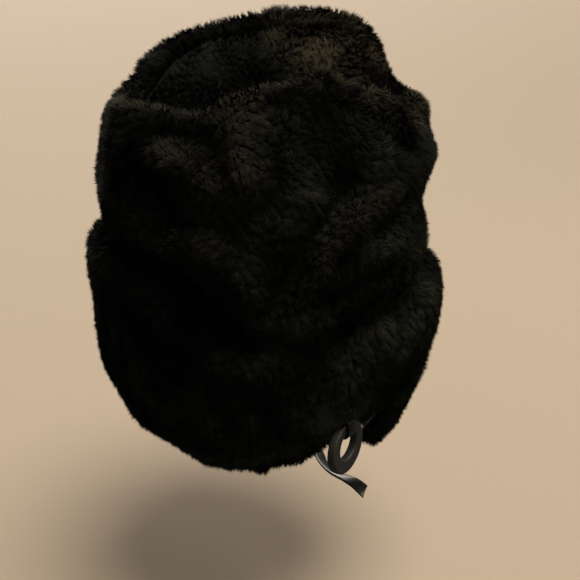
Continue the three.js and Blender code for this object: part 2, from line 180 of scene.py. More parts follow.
# %% Effect: fine grain
grain_group, grain_in, grain_out = new_group(
    "fine_grain", "ShaderNodeTree",
    [("Scale", "NodeSocketFloat", 900.0), ("Pores", "NodeSocketFloat", 0.5)],
    [("Height", "NodeSocketFloat")],
)
grain_place = add_node(grain_group, "ShaderNodeTexCoord")
grain_cells = add_node(grain_group, "ShaderNodeTexVoronoi", feature="DISTANCE_TO_EDGE")
grain_noise = add_node(grain_group, "ShaderNodeTexNoise")
for grain_texture in (grain_cells, grain_noise):
    grain_group.links.new(grain_place.outputs["Object"], grain_texture.inputs["Vector"])
    grain_group.links.new(grain_in.outputs["Scale"], grain_texture.inputs["Scale"])
grain_depth = math_node(grain_group, "MULTIPLY", grain_cells.outputs["Distance"], grain_in.outputs["Pores"])
grain_sum = math_node(grain_group, "ADD", grain_depth, grain_noise.outputs["Fac"])
grain_group.links.new(grain_sum, grain_out.inputs["Height"])
print("made", grain_group.name)

# %% Effect: worn edges
wear_group, wear_in, wear_out = new_group(
    "edge_wear", "ShaderNodeTree",
    [("Amount", "NodeSocketFloat", 0.5), ("Scale", "NodeSocketFloat", 300.0)],
    [("Mask", "NodeSocketFloat")],
)
wear_shape = add_node(wear_group, "ShaderNodeNewGeometry")
wear_place = add_node(wear_group, "ShaderNodeTexCoord")
wear_noise = add_node(wear_group, "ShaderNodeTexNoise")
wear_group.links.new(wear_place.outputs["Object"], wear_noise.inputs["Vector"])
wear_group.links.new(wear_in.outputs["Scale"], wear_noise.inputs["Scale"])
wear_edge = math_node(wear_group, "SUBTRACT", wear_shape.outputs["Pointiness"], 0.5)
wear_sharp = math_node(wear_group, "MULTIPLY", wear_edge, 8.0)
wear_spots = math_node(wear_group, "MULTIPLY", wear_sharp, wear_noise.outputs["Fac"])
wear_mask = add_node(wear_group, "ShaderNodeMath", operation="MULTIPLY", use_clamp=True)
wear_group.links.new(wear_spots, wear_mask.inputs[0])
wear_group.links.new(wear_in.outputs["Amount"], wear_mask.inputs[1])
wear_group.links.new(wear_mask.outputs[0], wear_out.inputs["Mask"])
print("made", wear_group.name)

# %% [markdown]
# ## Materials
# Black dye on sheepskin is never quite even. A warm brown-black is painted on as a painted highlight where the
# hair tips catch light, and near black as painted shade in shaded hollows and at the roots of the hairs.
# The soft shine of wool comes from sheen, which lights a surface where it turns away. The strap is polished
# black leather, so it has a coat, and the ring is a dull plastic with a softer shine at its worn edges.

# %% Helpers for materials
def new_material(name, roughness):
    """Makes a material and returns it with its tree and its Principled shader."""
    material = bpy.data.materials.new(name)
    material.use_nodes = True
    shader = material.node_tree.nodes["Principled BSDF"]
    shader.inputs["Roughness"].default_value = roughness
    return material, material.node_tree, shader


def set_values(node, **values):
    """Sets a node's own sockets. An underscore stands for a space in a socket's name."""
    for name, value in values.items():
        node.inputs[name.replace("_", " ")].default_value = value


def place_group(tree, group, **values):
    """Puts a shared effect in a material with its own values."""
    node = add_node(tree, "ShaderNodeGroup", node_tree=group)
    set_values(node, **values)
    return node


def blend_colour(tree, mask, low, high):
    """A mix of two colours by a mask, where each colour is a value or a socket."""
    node = add_node(tree, "ShaderNodeMix", data_type="RGBA")
    tree.links.new(mask, node.inputs["Factor"])
    for label, value in (("A", low), ("B", high)):
        slot = next(s for s in node.inputs if s.name == label and s.type == "RGBA")
        if isinstance(value, tuple):
            slot.default_value = (*value, 1)
        else:
            tree.links.new(value, slot)
    return next(s for s in node.outputs if s.type == "RGBA")


def paint(tree, shader, effect, low, high):
    """Colours a shader from low to high by a shared effect's mask."""
    tint = blend_colour(tree, effect.outputs["Mask"], low, high)
    tree.links.new(tint, shader.inputs["Base Color"])


def add_grain(tree, shader, strength, depth, **grain):
    """Raises a fine grain on a shader by a bump of the given strength and depth."""
    height = place_group(tree, grain_group, **grain)
    bump = add_node(tree, "ShaderNodeBump")
    set_values(bump, Strength=strength, Distance=depth)
    tree.links.new(height.outputs["Height"], bump.inputs["Height"])
    tree.links.new(bump.outputs["Normal"], shader.inputs["Normal"])


# %% Fur: the hairs
HIGHLIGHT_BROWN_BY_HEIGHT = 8.0  # the painted highlight is browner on the top than on the flaps: the share of brown for each metre up
fur, fur_tree, fur_shader = new_material("black_pile", 0.7)
fur_drift = place_group(fur_tree, drift_group, Scale=30.0, Contrast=3.2)
fur_flecks = place_group(fur_tree, drift_group, Scale=170.0, Contrast=2.0)
fur_patches = math_node(fur_tree, "MULTIPLY", fur_drift.outputs["Mask"], fur_flecks.outputs["Mask"])
fur_patches = math_node(fur_tree, "MULTIPLY", fur_patches, 2.0)
fur_tint = blend_colour(fur_tree, fur_patches, (0.0034, 0.0038, 0.0028), (0.0175, 0.0187, 0.0138))
# Painted highlight: where the folds' stored attribute is above zero, the hairs lighten to a brown-black along lit
# ridges, rims and hem patches, browner higher up
fur_crest = add_node(fur_tree, "ShaderNodeAttribute", attribute_name="crest")
fur_highlight_share = math_node(fur_tree, "MULTIPLY", fur_crest.outputs["Fac"], fur_flecks.outputs["Mask"])
fur_place = add_node(fur_tree, "ShaderNodeTexCoord")
fur_height = add_node(fur_tree, "ShaderNodeSeparateXYZ")
fur_tree.links.new(fur_place.outputs["Object"], fur_height.inputs[0])
fur_high = math_node(fur_tree, "MULTIPLY", fur_height.outputs["Z"], HIGHLIGHT_BROWN_BY_HEIGHT)
fur_highlight_colour = blend_colour(fur_tree, fur_high, (0.062, 0.064, 0.050), (0.074, 0.063, 0.038))
fur_tint = blend_colour(fur_tree, fur_highlight_share, fur_tint, fur_highlight_colour)
# Painted shade: below zero the same attribute darkens the tint to near black in shaded hollows and under the
# slouch
fur_shade_share = math_node(fur_tree, "MULTIPLY", fur_crest.outputs["Fac"], -1.0)
fur_tint = blend_colour(fur_tree, fur_shade_share, fur_tint, (0.0012, 0.0013, 0.0010))
# Painted shade in the pile: each hair darkens towards its root
fur_along = add_node(fur_tree, "ShaderNodeAttribute", attribute_name="along")
fur_root_shade = blend_colour(fur_tree, fur_along.outputs["Fac"], (0.0010, 0.0010, 0.0008), fur_tint)
fur_tree.links.new(fur_root_shade, fur_shader.inputs["Base Color"])
set_values(fur_shader, Specular_IOR_Level=0.02)
set_values(fur_shader, Sheen_Weight=0.006, Sheen_Roughness=0.45, Sheen_Tint=(0.58, 0.58, 0.44, 1))
print("made", fur.name)

# %% Fur: the ground between the hairs
ground, ground_tree, ground_shader = new_material("pile_ground", 0.95)
ground_drift = place_group(ground_tree, drift_group, Scale=260.0, Contrast=3.0)
paint(ground_tree, ground_shader, ground_drift, (0.0012, 0.0011, 0.0010), (0.005, 0.0045, 0.004))
set_values(ground_shader, Specular_IOR_Level=0.1)
print("made", ground.name)

# %% Hide: the suede inside
suede, suede_tree, suede_shader = new_material("black_suede", 0.9)
suede_drift = place_group(suede_tree, drift_group, Scale=45.0, Contrast=2.0)
paint(suede_tree, suede_shader, suede_drift, (0.010, 0.009, 0.008), (0.022, 0.019, 0.016))
add_grain(suede_tree, suede_shader, strength=0.4, depth=0.3 * MM, Scale=1400.0, Pores=0.3)
set_values(suede_shader, Sheen_Weight=0.2, Sheen_Roughness=0.5)
print("made", suede.name)

# %% Leather
leather, leather_tree, leather_shader = new_material("strap_leather", 0.38)
leather_drift = place_group(leather_tree, drift_group, Scale=70.0, Contrast=2.0)
paint(leather_tree, leather_shader, leather_drift, (0.0025, 0.0023, 0.0021), (0.008, 0.007, 0.006))
add_grain(leather_tree, leather_shader, strength=0.25, depth=0.2 * MM, Scale=750.0, Pores=0.8)
set_values(leather_shader, Specular_IOR_Level=0.15, Coat_Weight=0.07, Coat_Roughness=0.22)
print("made", leather.name)

# %% Plastic of the ring
plastic, plastic_tree, plastic_shader = new_material("ring_plastic", 0.6)
plastic_wear = place_group(plastic_tree, wear_group, Amount=0.8, Scale=420.0)
paint(plastic_tree, plastic_shader, plastic_wear, (0.009, 0.0078, 0.0058), (0.028, 0.024, 0.017))
add_grain(plastic_tree, plastic_shader, strength=0.15, depth=0.1 * MM, Scale=1600.0, Pores=0.1)
print("made", plastic.name)

# %% [markdown]
# ## The hide under the pile
# Each panel is a hide that the hairs grow from. Its shape is a merged copy of the panel in the frame, whose
# coarse facets are smoothed and subdivided, with the furry side sunk by most of the pile's height. Sculpting
# it anew would lose the fit to the neighbours, and a copy keeps every fold where it is. The upright sides of
# the flaps are moved out a little, so that they overlap inside the fur and no light shows between them.

# %% Where hair grows
CROWN_RIM_FROM = 0.140  # above this height the crown's surface turns over its rim
NEAR_AXIS = 0.02  # nearer the hat's axis than this, a slope counts for less
# Slopes of a face, from -1 to 1, which say how far it faces out from the axis, ahead or up
TOP_OUT = 0.3
WALL_OUT, SEAM_UP = 0.2, -0.5
PEAK_OUT, PEAK_HEM_UP = -0.2, -0.3
FLAP_OUT, FLAP_HEM_UP = 0.3, -0.6
FRONT_EDGE_AHEAD, FRONT_EDGE_OUT = 0.5, -0.3


def grows_hair(node, place, normal):
    """True for a place on a panel that shows its fur, and not on its inside or in a seam."""
    outward = (normal.x * place.x + normal.y * place.y) / max(math.hypot(place.x, place.y), NEAR_AXIS)
    if node == "crown_top":
        return normal.z > 0 and outward < TOP_OUT
    if node == "crown_side":
        over_dish = cover_trees["crown_top"].ray_cast(place, Vector((0, 0, -1)))[0] is not None
        on_rim = normal.z > 0 or over_dish and normal.z > SEAM_UP
        return outward > WALL_OUT or place.z > CROWN_RIM_FROM and on_rim
    if node == "front_peak":
        return outward > PEAK_OUT or normal.z < PEAK_HEM_UP
    front_edge = "ear_flap" in node and normal.y > FRONT_EDGE_AHEAD and outward > FRONT_EDGE_OUT
    return outward > FLAP_OUT or front_edge or normal.z < FLAP_HEM_UP and is_outermost(node, place, normal)


def is_outermost(node, place, normal):
    """True where a panel has nothing of its own outside of a place, as at its hem."""
    outside = Vector((place.x, place.y, 0)).normalized()
    return cover_trees[node].ray_cast(place + normal * MM, outside)[0] is None


def solid_tree(node):
    """A search tree of a CAD node's faces."""
    work = bmesh.new()
    work.from_mesh(nodes[node].data)
    tree = BVHTree.FromBMesh(work)
    work.free()
    return tree


COVERS = {
    "nape_flap": ["crown_side"],
    "ear_flap_left": ["crown_side", "front_peak"],
    "ear_flap_right": ["crown_side", "front_peak"],
    "crown_side": ["front_peak"],
    "crown_top": [],
    "front_peak": [],
}
COVER_START, COVER_REACH = 2 * MM, 5 * MM  # no hair grows where a neighbour lies between these distances
SEAM_REACH = 3 * MM
cover_trees = {name: solid_tree(name) for name in PELTS}
print("search trees:", len(cover_trees))

# %% [markdown]
# ## Folds
# The tall crown has slumped, so its wall has rolled ridges and pressed-in hollows, and the lower panels bulge
# between them. They could be sculpted by hand, but a short table of lines can be read and changed: each line
# lifts or sinks the hide near it. Along some lines a brown-black is painted on the pile as a painted highlight,
# where ridges, rims and hem patches catch the light, and along others near black as painted shade, in shaded
# hollows and under the slouch, so both are remembered there.

# %% Name the folds
# Each fold: how far it rises in millimetres, or sinks below zero, how wide it is, how much highlight is
# painted on it, and below zero how much shade, and its line
FOLDS = {
    "crown_side": [
        (6, 8, 0.5, [(19, -119, 34), (25, -121, 51), (34, -120, 68), (44, -118, 83), (54, -112, 94),
                     (66, -108, 103), (78, -99, 107), (90, -91, 114), (96, -80, 122)]),
        (3, 8, 0.3, [(54, -116, 60), (64, -113, 74), (75, -102, 81)]),
        (-6, 5, 0, [(46, -116, 75), (50, -115, 81)]),
        (-7, 8, 0, [(75, -97, 88), (84, -83, 91), (91, -82, 98)]),
        (-6, 8, 0, [(41, -118, 51), (50, -117, 53), (61, -113, 57)]),
        (3, 6, 0.2, [(51, -116, 45), (67, -108, 53), (85, -95, 57), (97, -77, 62), (104, -67, 72)]),
        (-7, 14, 0, [(11, -124, 44), (17, -125, 61), (26, -125, 78), (36, -123, 94), (49, -117, 108),
                     (61, -106, 117)]),
        (-3, 5, 0, [(24, -124, 106), (35, -121, 111), (43, -114, 119), (47, -109, 125)]),
        (3, 8, 0.3, [(23, -123, 114), (33, -119, 114)]),
        (4, 11, 0.2, [(-33, -123, 78), (-20, -125, 70), (-7, -128, 55), (0, -130, 40)]),
        (3, 10, 0.2, [(-55, -111, 87), (-39, -122, 88), (-27, -126, 83)]),
        (-4, 9, 0, [(-61, -104, 107), (-58, -106, 95), (-44, -119, 97), (-26, -125, 97)]),
        (5, 9, 0.4, [(-66, -100, 136), (-52, -106, 135), (-40, -112, 129), (-34, -115, 122)]),
        (-3, 9, 0, [(-66, -92, 146), (-50, -98, 148), (-35, -103, 143), (-28, -110, 131)]),
        (5, 13, 0.5, [(-12, -99, 161), (-18, -101, 151), (-17, -107, 141), (-12, -113, 129)]),
        (-4, 9, 0, [(7, -95, 165), (7, -100, 151), (3, -112, 136)]),
        (-7, 8, 0, [(50, -76, 171), (60, -62, 168)]),
        (4, 8, 0.4, [(74, -51, 160), (84, -50, 152), (90, -55, 145)]),
        (5, 11, 1.8, [(106, 12, 142), (106, -15, 146), (102, -40, 146)]),
        (-3, 6, -0.8, [(99, -52, 140), (101, -60, 132)]),
        (2, 12, 0.2, [(-96, 8, 158), (-87, 36, 173)]),
        (3, 12, 0.5, [(77, 56, 195), (80, 32, 178)]),
        (3, 7, 0.2, [(81, -83, 135), (74, -99, 124), (69, -103, 116)]),
        (3, 6, 0.8, [(-97, -8, 154), (-100, -33, 156), (-84, -61, 160), (-64, -75, 162), (-40, -90, 163),
                     (-15, -94, 168), (6, -80, 177), (28, -86, 179), (45, -70, 180)]),
        (0, 9, 1.2, [(80, 32, 178), (77, 56, 195), (58, 68, 205), (47, 76, 206)]),
        (1.3, 9, 1.2, [(40, 78, 206), (20, 83, 206), (7, 85, 205)]),
        (1.3, 9, 0.5, [(7, 85, 205), (-15, 94, 201), (-35, 84, 198), (-59, 69, 191), (-80, 58, 182),
                       (-87, 36, 173)]),
        (2, 12, 0.8, [(45, -66, 178), (50, -59, 176), (70, -51, 167)]),
        (0, 16, 1.2, [(17, 74, 191), (39, 77, 193), (57, 55, 188), (68, 35, 173)]),
        (0, 12, -1.2, [(-82, 28, 163), (-64, 58, 173), (-39, 73, 182), (-13, 77, 188)]),
        (0, 14, -0.5, [(53, -83, 160), (62, -82, 147), (58, -100, 133)]),
        (-2, 12, -0.5, [(85, -65, 144), (94, -71, 133), (97, -80, 119)]),
        (0, 10, -0.7, [(111, 7, 132), (106, -54, 133), (104, -66, 125)]),
    ],
    "nape_flap": [
        (5, 9, 0.15, [(-94, -93, 13), (-89, -94, -5), (-81, -94, -23), (-72, -97, -35)]),
        (-5, 7, 0, [(-106, -78, 13), (-102, -81, -8), (-95, -83, -25), (-85, -88, -38)]),
        (3, 10, 0.2, [(-31, -122, 7), (-15, -122, 4)]),
        (3, 5, 1.3, [(-34, -111, -36), (-32, -108, -50)]),
        (3, 5, 1.3, [(-10, -114, -33), (-8, -111, -45)]),
        (3, 5, 1.3, [(17, -116, -29), (20, -112, -45)]),
        (3, 8, 1.3, [(35, -115, -23), (44, -93, -50)]),
        (0, 15, 1.5, [(43, -103, -35), (54, -90, -39)]),
        (-2, 7, 0, [(-7, -84, -95), (-2, -84, -95)]),
        (0, 24, -0.8, [(-101, -76, 58), (-90, -96, 45), (-83, -103, 28)]),
        (-2, 8, -0.8, [(-51, -100, 61), (-39, -107, 47), (-24, -109, 31), (-8, -110, 21)]),
        (0, 16, -0.6, [(-65, -111, 14), (-39, -119, 5), (-14, -123, -8)]),
        (2, 7, 1.3, [(-51, -93, -74), (-34, -97, -77), (-13, -100, -76), (7, -102, -71), (27, -101, -64),
                     (43, -91, -60)]),
        (4, 14, 0.4, [(70, -92, 19), (61, -109, 6), (55, -112, -10)]),
        (3, 9, 0.3, [(79, -89, 18), (83, -99, 9)]),
        (3, 9, 0.4, [(49, -115, -5), (56, -102, -26)]),
        (-3, 8, 0, [(78, -104, 0), (86, -96, -11)]),
        (-4, 7, 0, [(111, -72, 6), (116, -66, 11)]),
        (3, 8, 0.3, [(90, -87, -19), (96, -88, -8)]),
        (4, 8, 0.3, [(108, -52, 31), (110, -63, 21), (103, -81, 14)]),
        (-4, 7, 0, [(92, -81, 46), (99, -61, 28), (99, -75, 19)]),
    ],
    "crown_top": [
        (4, 26, 1.0, [(21, 62, 180), (39, 61, 184), (53, 43, 175), (61, 27, 166)]),
        (3, 18, 0.7, [(24, 49, 165), (42, 39, 165), (62, -14, 160)]),
        (-2, 22, -1.3, [(-75, 20, 150), (-50, 20, 148), (-30, 39, 154), (-9, 50, 160)]),
        (-1, 20, -0.8, [(-55, -20, 145), (-30, -10, 140), (-5, -15, 140)]),
    ],
}
FOLD_DEPTH = 1.6  # the pile softens each fold, so the hide's own are this much deeper
LONG_HAIR = [((52, -100, -27), 20, 1.9)]  # locks left long over the leather tab: place, reach, added length
CRUMPLES = ((22, 2.0), (60, 1.5))  # a soft unevenness: waves to the metre, and height in millimetres
BALD = 0.1  # a place with a smaller share of fur than this counts as suede


def near_line(places, line):
    """How far each place is from a line of points."""
    nearest = np.full(len(places), np.inf)
    for start, end in zip(line, line[1:]):
        start, way = np.array(start) * MM, (np.array(end) - np.array(start)) * MM
        along = np.clip((places - start) @ way / (way @ way), 0, 1)
        away = np.linalg.norm(places - start - along[:, None] * way, axis=1)
        nearest = np.minimum(nearest, away)
    return nearest


def fade(away, wide):
    """A mask that falls from one to nothing over a width in millimetres."""
    return np.exp(-((away / (wide * MM)) ** 2))


def near_point(places, point, wide):
    """A mask that fades from one at a point to nothing round it."""
    return fade(np.linalg.norm(places - np.array(point) * MM, axis=1), wide)


def fold_hide(hide, node):
    """Lifts and sinks a hide's furry side along its folds, and marks where highlight and shade are painted on its
    pile.
    """
    mesh = hide.data
    count = len(mesh.vertices)
    places, normals = np.empty(count * 3), np.empty(count * 3)
    mesh.vertices.foreach_get("co", places)
    mesh.vertices.foreach_get("normal", normals)
    places, normals = places.reshape(-1, 3), normals.reshape(-1, 3)
    furry, rise, crest = np.empty(count), np.zeros(count), np.zeros(count)
    mesh.attributes["furry"].data.foreach_get("value", furry)
    for high, wide, painted_light_share, line in FOLDS.get(node, []):
        near = fade(near_line(places, line), wide)
        rise += FOLD_DEPTH * high * near
        crest += painted_light_share * near
    inner = -np.minimum(rise, 0) * (furry < BALD)  # the suede side goes in ahead of a hollow, to stay behind it
    for waves, high in CRUMPLES:
        rise += high * np.array([noise.noise(Vector(place) * waves) for place in places])
    places += normals * ((rise * furry + inner) * MM)[:, None]
    mesh.vertices.foreach_set("co", places.ravel())
    long = sum(added * near_point(places, point, wide) for point, wide, added in LONG_HAIR)
    # The first attribute holds the painted highlight, and below zero the painted shade, for the pile's material
    for name, values in (("crest", crest), ("long", long)):
        mesh.attributes.new(name, "FLOAT", "POINT").data.foreach_set("value", values)
    mesh.update()
    return rise


# %% Make the hides
SMOOTHINGS = 4
EDGE_SHARE = 0.5  # an edge sinks less than the middle, so that no gap opens between two panels
FINER = 2  # each face is cut in four this many times
HANGING = ("nape_flap", "ear_flap_left", "ear_flap_right")
SEAM_OVERLAP = 3.2 * MM  # how far the upright sides of a hanging panel are moved out
SHARP = 0.9  # two faces that meet at an edge of a side are this far from flat, in radians
STEEP = 0.5  # the least rise of an upright edge, for its length
LEVEL = 0.55  # how far a side may face up or down


def shut_seams(work):
    """Sharpens the upright edges of a hanging panel's sides and moves them out."""
    crease = work.edges.layers.float.new("crease_edge")
    beside = {}
    for edge in work.edges:
        run = edge.verts[1].co - edge.verts[0].co
        radius = Vector((edge.verts[0].co.x, edge.verts[0].co.y, 0)).normalized()
        side = min(edge.link_faces, key=lambda face: abs(face.normal.dot(radius)))
        upright = abs(run.z) > STEEP * run.length and abs(side.normal.z) < LEVEL
        if upright and edge.calc_face_angle(0) > SHARP:
            edge[crease] = 1
            beside.update({vert: side.normal.copy() for vert in edge.verts})
    for vert, away in beside.items():
        vert.co += away * SEAM_OVERLAP


def make_hide(node):
    """The hide of one panel, with its furry side sunk. The attribute pile says where hair grows on it."""
    work = merged_copy(node, flat=0.6, square=0.9)
    pile = work.verts.layers.float.new("pile")
    furred = work.verts.layers.float.new("furry")
    for face in work.faces:
        face.smooth = True
        face.material_index = 0 if grows_hair(node, face.calc_center_median(), face.normal) else 1
    furry, middle = {}, []
    for vert in work.verts:
        sides = [face for face in vert.link_faces if face.material_index == 0]
        if sides:
            furry[vert] = sum((face.normal * face.calc_area() for face in sides), Vector()).normalized()
        if len(sides) == len(vert.link_faces):
            middle.append(vert)
    for face in work.faces:  # the pile's dark ground goes round each edge, and into the dish's seam
        dish = cover_trees["crown_top"].find_nearest(face.calc_center_median(), SEAM_REACH)[0]
        if node == "crown_side" and dish or any(vert in furry for vert in face.verts):
            face.material_index = 0
    for vert, away in furry.items():
        start = vert.co + away * COVER_START
        hits = [cover_trees[name].ray_cast(start, away, COVER_REACH)[0] for name in COVERS[node]]
        vert[pile] = 0 if any(hits) else 1
        vert[furred] = 1
    inside = set(middle)
    for _ in range(SMOOTHINGS):
        bmesh.ops.smooth_vert(work, verts=middle, factor=0.5, use_axis_x=True, use_axis_y=True, use_axis_z=True)
    for vert, away in furry.items():
        vert.co -= away * GROUND_DEPTH * (1 if vert in inside else EDGE_SHARE)
    if node in HANGING:
        shut_seams(work)
    hide = new_piece(work, node + "_hide", ground, suede)
    finer = hide.modifiers.new("finer", "SUBSURF")
    finer.levels = FINER
    finer.render_levels = FINER
    return hide


def apply_modifiers(piece):
    """Replaces a piece's mesh by what its modifiers make of it."""
    evaluated = piece.evaluated_get(bpy.context.evaluated_depsgraph_get())
    finished = bpy.data.meshes.new_from_object(evaluated)
    piece.modifiers.clear()
    piece.data = finished
    return piece


hides = {}
for node in PELTS:
    hide = apply_modifiers(make_hide(node))
    rise = fold_hide(hide, node)
    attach(hide, "root")
    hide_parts(node)
    hides[node] = hide
    print(hide.name, len(hide.data.polygons), "faces, folds", rise.min().round(1), "to", rise.max().round(1), "mm")

# %% [markdown]
# ## The pile
# A sheepskin has millions of hairs, far too many for a part that others will load. A few hundred thousand
# flat hairs, each a bent kite of two triangles, read the same at this distance. Geometry Nodes scatters them
# over the hide, leans each one down the panel, and gathers the tips of one tuft towards its middle. The
# instances are made real and the modifier is applied, so that the piece is a plain mesh.

# %% One hair
HAIR_BEND = 0.25  # how far the tip drops behind the root, as a share of the length
HAIR_WIDEST = 0.35  # how far up the hair is widest


def make_hair():
    """A bent kite, one unit long and wide, that grows along Z and faces Y."""
    work = bmesh.new()
    bmesh.ops.create_circle(work, segments=4, radius=0.5, cap_ends=True)
    upright = Matrix.Rotation(math.pi, 3, "Z") @ Matrix.Rotation(math.pi / 2, 3, "X")
    bmesh.ops.rotate(work, verts=work.verts, cent=(0, 0, 0), matrix=upright)
    bmesh.ops.translate(work, verts=work.verts, vec=(0, 0, 0.5))
    along = work.verts.layers.float.new("along")
    _, *middle, tip = sorted(work.verts, key=lambda v: v.co.z)
    bmesh.ops.connect_verts(work, verts=middle)
    for vert in middle:
        vert.co.z = HAIR_WIDEST
        vert[along] = HAIR_WIDEST
    tip[along] = 1
    tip.co.y -= HAIR_BEND
    for face in work.faces:
        face.smooth = True
    return new_piece(work, "hair", fur)


hair = make_hair()
print("one hair:", len(hair.data.polygons), "triangles, facing", tuple(hair.data.polygons[0].normal))

# %% Geometry nodes: helpers
def vector_math(tree, operation, first, second=None, scale=None):
    """A Vector Math node between sockets or vectors."""
    node = add_node(tree, "ShaderNodeVectorMath", operation=operation)
    for slot, value in zip(node.inputs, (first, second)):
        if value is None:
            continue
        if isinstance(value, tuple):
            slot.default_value = value
        else:
            tree.links.new(value, slot)
    if scale is not None:
        if isinstance(scale, (int, float)):
            node.inputs["Scale"].default_value = scale
        else:
            tree.links.new(scale, node.inputs["Scale"])
    return node.outputs["Value" if operation == "DOT_PRODUCT" else "Vector"]


def random_number(tree, low, high, seed):
    """A seeded random number for each hair."""
    node = add_node(tree, "FunctionNodeRandomValue", data_type="FLOAT")
    node.inputs[2].default_value = low
    node.inputs[3].default_value = high
    node.inputs["Seed"].default_value = seed
    return node.outputs[1]


def random_vector(tree, spread, seed):
    """A seeded random vector for each hair, within the same spread each way."""
    node = add_node(tree, "FunctionNodeRandomValue", data_type="FLOAT_VECTOR")
    node.inputs[0].default_value = (-spread, -spread, -spread)
    node.inputs[1].default_value = (spread, spread, spread)
    node.inputs["Seed"].default_value = seed
    return node.outputs[0]


def stored(tree, name):
    """A number that the hide stores under a name."""
    node = add_node(tree, "GeometryNodeInputNamedAttribute", data_type="FLOAT")
    node.inputs["Name"].default_value = name
    return node.outputs["Attribute"]


# %% Geometry nodes: grow the pile
grow, grow_in, grow_out = new_group(
    "grow_pile", "GeometryNodeTree",
    [
        ("Hide", "NodeSocketGeometry", None),
        ("Hair", "NodeSocketObject", None),
        ("Density", "NodeSocketFloat", HAIRS_PER_SQUARE_METRE),
        ("Lean", "NodeSocketFloat", 0.6),
        ("Gather", "NodeSocketFloat", 0.8),
        ("Swirl", "NodeSocketFloat", 0.8),
        ("Seed", "NodeSocketInt", SEED),
    ],
    [("Pile", "NodeSocketGeometry")],
)
grow.is_modifier = True
links = grow.links
scattered = add_node(grow, "GeometryNodeDistributePointsOnFaces", distribute_method="RANDOM")
density = math_node(grow, "MULTIPLY", stored(grow, "pile"), grow_in.outputs["Density"])
links.new(grow_in.outputs["Hide"], scattered.inputs["Mesh"])
links.new(density, scattered.inputs["Density"])
links.new(grow_in.outputs["Seed"], scattered.inputs["Seed"])

held_normal = add_node(grow, "GeometryNodeCaptureAttribute")
held_normal.capture_items.new("VECTOR", "Normal")
links.new(scattered.outputs["Points"], held_normal.inputs["Geometry"])
links.new(scattered.outputs["Normal"], held_normal.inputs["Normal"])
normal = held_normal.outputs["Normal"]
where = add_node(grow, "GeometryNodeInputPosition").outputs[0]

# The way down along the surface, brushed a little backwards and to the right
DOWN = (0.12, -0.25, -1)
through = vector_math(grow, "DOT_PRODUCT", normal, DOWN)
into = vector_math(grow, "SCALE", normal, scale=through)
down = vector_math(grow, "SUBTRACT", DOWN, into)
leaning = vector_math(grow, "SCALE", down, scale=grow_in.outputs["Lean"])

# A slow swirl that turns whole patches
SWIRLS_PER_METRE = 28
SWIRL_WIDE = 3.0
swirl_noise = add_node(grow, "ShaderNodeTexNoise")
swirl_noise.inputs["Scale"].default_value = SWIRLS_PER_METRE
swirl_noise.inputs["Detail"].default_value = 1
links.new(where, swirl_noise.inputs["Vector"])
swirl_middle = vector_math(grow, "SUBTRACT", swirl_noise.outputs["Color"], (0.5, 0.5, 0.5))
swirl_wide = vector_math(grow, "SCALE", swirl_middle, scale=SWIRL_WIDE)
swirling = vector_math(grow, "SCALE", swirl_wide, scale=grow_in.outputs["Swirl"])

# The pull towards the middle of the tuft
tufts = add_node(grow, "ShaderNodeTexVoronoi")
tufts.inputs["Scale"].default_value = 1 / TUFT_WIDE
links.new(where, tufts.inputs["Vector"])
to_middle = vector_math(grow, "SUBTRACT", tufts.outputs["Position"], where)
pull = vector_math(grow, "SCALE", to_middle, scale=1 / HAIR_LONG)
gathering = vector_math(grow, "SCALE", pull, scale=grow_in.outputs["Gather"])

LOOSE = 0.28  # how far a hair strays from its neighbours
loose = random_vector(grow, LOOSE, 11)
toward = vector_math(grow, "ADD", normal, leaning)
for part in (swirling, gathering, loose):
    toward = vector_math(grow, "ADD", toward, part)
toward = vector_math(grow, "NORMALIZE", toward)

# Stand the hair along that way, with its face outwards, and roll it a little
ROLL = 0.6
standing = add_node(grow, "FunctionNodeAlignRotationToVector", axis="Z")
links.new(toward, standing.inputs["Vector"])
facing = add_node(grow, "FunctionNodeAlignRotationToVector", axis="Y", pivot_axis="Z")
links.new(standing.outputs[0], facing.inputs["Rotation"])
links.new(normal, facing.inputs["Vector"])
roll = add_node(grow, "FunctionNodeRotateRotation", rotation_space="LOCAL")
turn = add_node(grow, "FunctionNodeAxisAngleToRotation")
turn.inputs["Axis"].default_value = (0, 0, 1)
links.new(random_number(grow, -ROLL, ROLL, 12), turn.inputs["Angle"])
links.new(facing.outputs[0], roll.inputs["Rotation"])
links.new(turn.outputs[0], roll.inputs["Rotate By"])

# Long and short tufts, and long and short hairs in them
TUFT_LONGER = 0.22
SHORTEST = 0.70
tuft_tone = add_node(grow, "ShaderNodeSeparateXYZ")
links.new(tufts.outputs["Color"], tuft_tone.inputs[0])
tuft_long = math_node(grow, "MULTIPLY", tuft_tone.outputs[0], TUFT_LONGER)
hair_factor = math_node(grow, "ADD", tuft_long, random_number(grow, SHORTEST, 1.0, 13))
hair_factor = math_node(grow, "ADD", hair_factor, stored(grow, "long"))
hair_length = math_node(grow, "MULTIPLY", hair_factor, HAIR_LONG)
hair_size = add_node(grow, "ShaderNodeCombineXYZ")
hair_size.inputs["X"].default_value = HAIR_WIDE
links.new(hair_length, hair_size.inputs["Y"])
links.new(hair_length, hair_size.inputs["Z"])

planted = add_node(grow, "GeometryNodeInstanceOnPoints")
hair_shape = add_node(grow, "GeometryNodeObjectInfo")
links.new(grow_in.outputs["Hair"], hair_shape.inputs["Object"])
links.new(hair_shape.outputs["Geometry"], planted.inputs["Instance"])
links.new(roll.outputs[0], planted.inputs["Rotation"])
links.new(hair_size.outputs[0], planted.inputs["Scale"])

